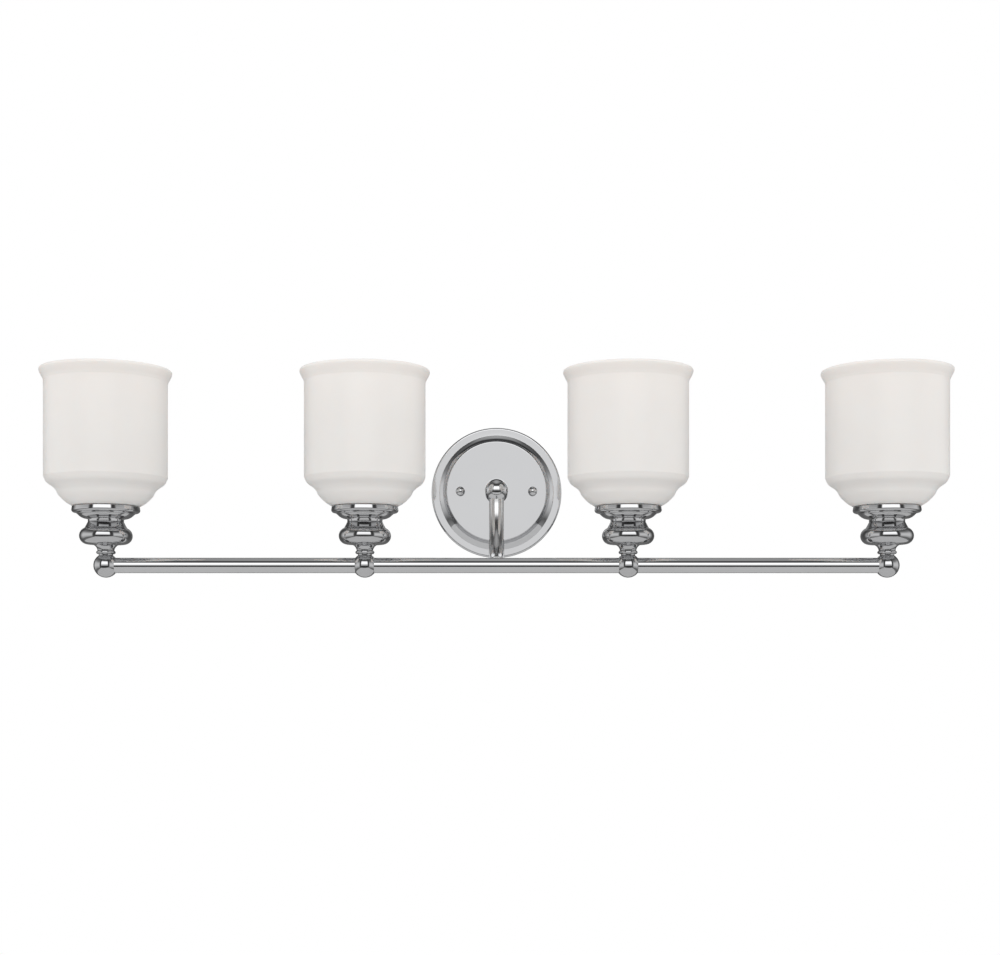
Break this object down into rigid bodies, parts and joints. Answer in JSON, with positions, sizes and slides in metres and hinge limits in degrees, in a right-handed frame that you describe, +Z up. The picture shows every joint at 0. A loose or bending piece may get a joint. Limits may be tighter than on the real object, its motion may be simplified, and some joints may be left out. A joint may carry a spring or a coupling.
{
  "type": "vanity light bar",
  "caption": "Wall light for a bathroom mirror: a chrome bar on a round wall plate and curved arm, with upright opal glass shades on turned cups.",
  "frame": {"origin": "centre of the wall plate, on the wall plane", "axes": "+X along the bar, to the right for a person facing the light; +Y into the wall; +Z up"},
  "size_m": [0.8316, 0.1643, 0.1896],
  "materials": {
    "chrome": "polished chrome plate",
    "plate_chrome": "polished chrome plate on spun steel",
    "zinc_steel": "zinc-plated steel",
    "green_screw": "green dyed screw",
    "brass": "bright brass",
    "porcelain": "glazed white ceramic",
    "opal_glass": "opal white blown glass, satin",
    "ring_metal": "turned ring, satin",
    "bulb_glass": "frosted bulb glass",
    "bulb_cap_metal": "bare rolled cap",
    "wire": "insulated wire",
    "wire_nut": "moulded orange plastic"
  },
  "bodies": {
    "fixture": {"wall_strap": "zinc_steel", "ground_screw": "green_screw", "canopy_studs": "zinc_steel", "canopy": "plate_chrome", "cap_nuts": "chrome", "arm_locknut": "brass", "arm_nipple": "zinc_steel", "arm_ball": "chrome", "arm_tube": "chrome", "arm_collar": "chrome", "bar_tube_left": "chrome", "bar_tube_centre": "chrome", "bar_tube_right": "chrome", "lamp_nipples": "zinc_steel", "socket_contacts": "brass", "bar_wiring": "wire", "arm_wiring": "wire", "canopy_leads": "wire", "wire_nuts": "wire_nut", "lamp_ball_1": "chrome", "lamp_neck_1": "chrome", "lamp_vase_1": "chrome", "lamp_cup_1": "chrome", "socket_1": "porcelain", "screw_shell_1": "brass", "lamp_ball_2": "chrome", "lamp_neck_2": "chrome", "lamp_vase_2": "chrome", "lamp_cup_2": "chrome", "socket_2": "porcelain", "screw_shell_2": "brass", "lamp_ball_3": "chrome", "lamp_neck_3": "chrome", "lamp_vase_3": "chrome", "lamp_cup_3": "chrome", "socket_3": "porcelain", "screw_shell_3": "brass", "lamp_ball_4": "chrome", "lamp_neck_4": "chrome", "lamp_vase_4": "chrome", "lamp_cup_4": "chrome", "socket_4": "porcelain", "screw_shell_4": "brass"},
    "shade_1": {"shade_1": "opal_glass"},
    "shade_ring_1": {"shade_ring_1": "ring_metal"},
    "bulb_1": {"bulb_cap_1": "bulb_cap_metal", "bulb_glass_1": "bulb_glass"},
    "shade_2": {"shade_2": "opal_glass"},
    "shade_ring_2": {"shade_ring_2": "ring_metal"},
    "bulb_2": {"bulb_cap_2": "bulb_cap_metal", "bulb_glass_2": "bulb_glass"},
    "shade_3": {"shade_3": "opal_glass"},
    "shade_ring_3": {"shade_ring_3": "ring_metal"},
    "bulb_3": {"bulb_cap_3": "bulb_cap_metal", "bulb_glass_3": "bulb_glass"},
    "shade_4": {"shade_4": "opal_glass"},
    "shade_ring_4": {"shade_ring_4": "ring_metal"},
    "bulb_4": {"bulb_cap_4": "bulb_cap_metal", "bulb_glass_4": "bulb_glass"}
  },
  "joints": [
    {"name": "shade_1_lift", "type": "slide", "parent": "fixture", "child": "shade_1", "axis": [0, 0, 1], "range_m": [0, 0.045]},
    {"name": "shade_ring_1_lift", "type": "slide", "parent": "shade_1", "child": "shade_ring_1", "axis": [0, 0, 1], "range_m": [0, 0.036]},
    {"name": "bulb_1_lift", "type": "slide", "parent": "shade_ring_1", "child": "bulb_1", "axis": [0, 0, 1], "range_m": [0, 0.12]},
    {"name": "shade_2_lift", "type": "slide", "parent": "fixture", "child": "shade_2", "axis": [0, 0, 1], "range_m": [0, 0.045]},
    {"name": "shade_ring_2_lift", "type": "slide", "parent": "shade_2", "child": "shade_ring_2", "axis": [0, 0, 1], "range_m": [0, 0.036]},
    {"name": "bulb_2_lift", "type": "slide", "parent": "shade_ring_2", "child": "bulb_2", "axis": [0, 0, 1], "range_m": [0, 0.12]},
    {"name": "shade_3_lift", "type": "slide", "parent": "fixture", "child": "shade_3", "axis": [0, 0, 1], "range_m": [0, 0.045]},
    {"name": "shade_ring_3_lift", "type": "slide", "parent": "shade_3", "child": "shade_ring_3", "axis": [0, 0, 1], "range_m": [0, 0.036]},
    {"name": "bulb_3_lift", "type": "slide", "parent": "shade_ring_3", "child": "bulb_3", "axis": [0, 0, 1], "range_m": [0, 0.12]},
    {"name": "shade_4_lift", "type": "slide", "parent": "fixture", "child": "shade_4", "axis": [0, 0, 1], "range_m": [0, 0.045]},
    {"name": "shade_ring_4_lift", "type": "slide", "parent": "shade_4", "child": "shade_ring_4", "axis": [0, 0, 1], "range_m": [0, 0.036]},
    {"name": "bulb_4_lift", "type": "slide", "parent": "shade_ring_4", "child": "bulb_4", "axis": [0, 0, 1], "range_m": [0, 0.12]}
  ]
}
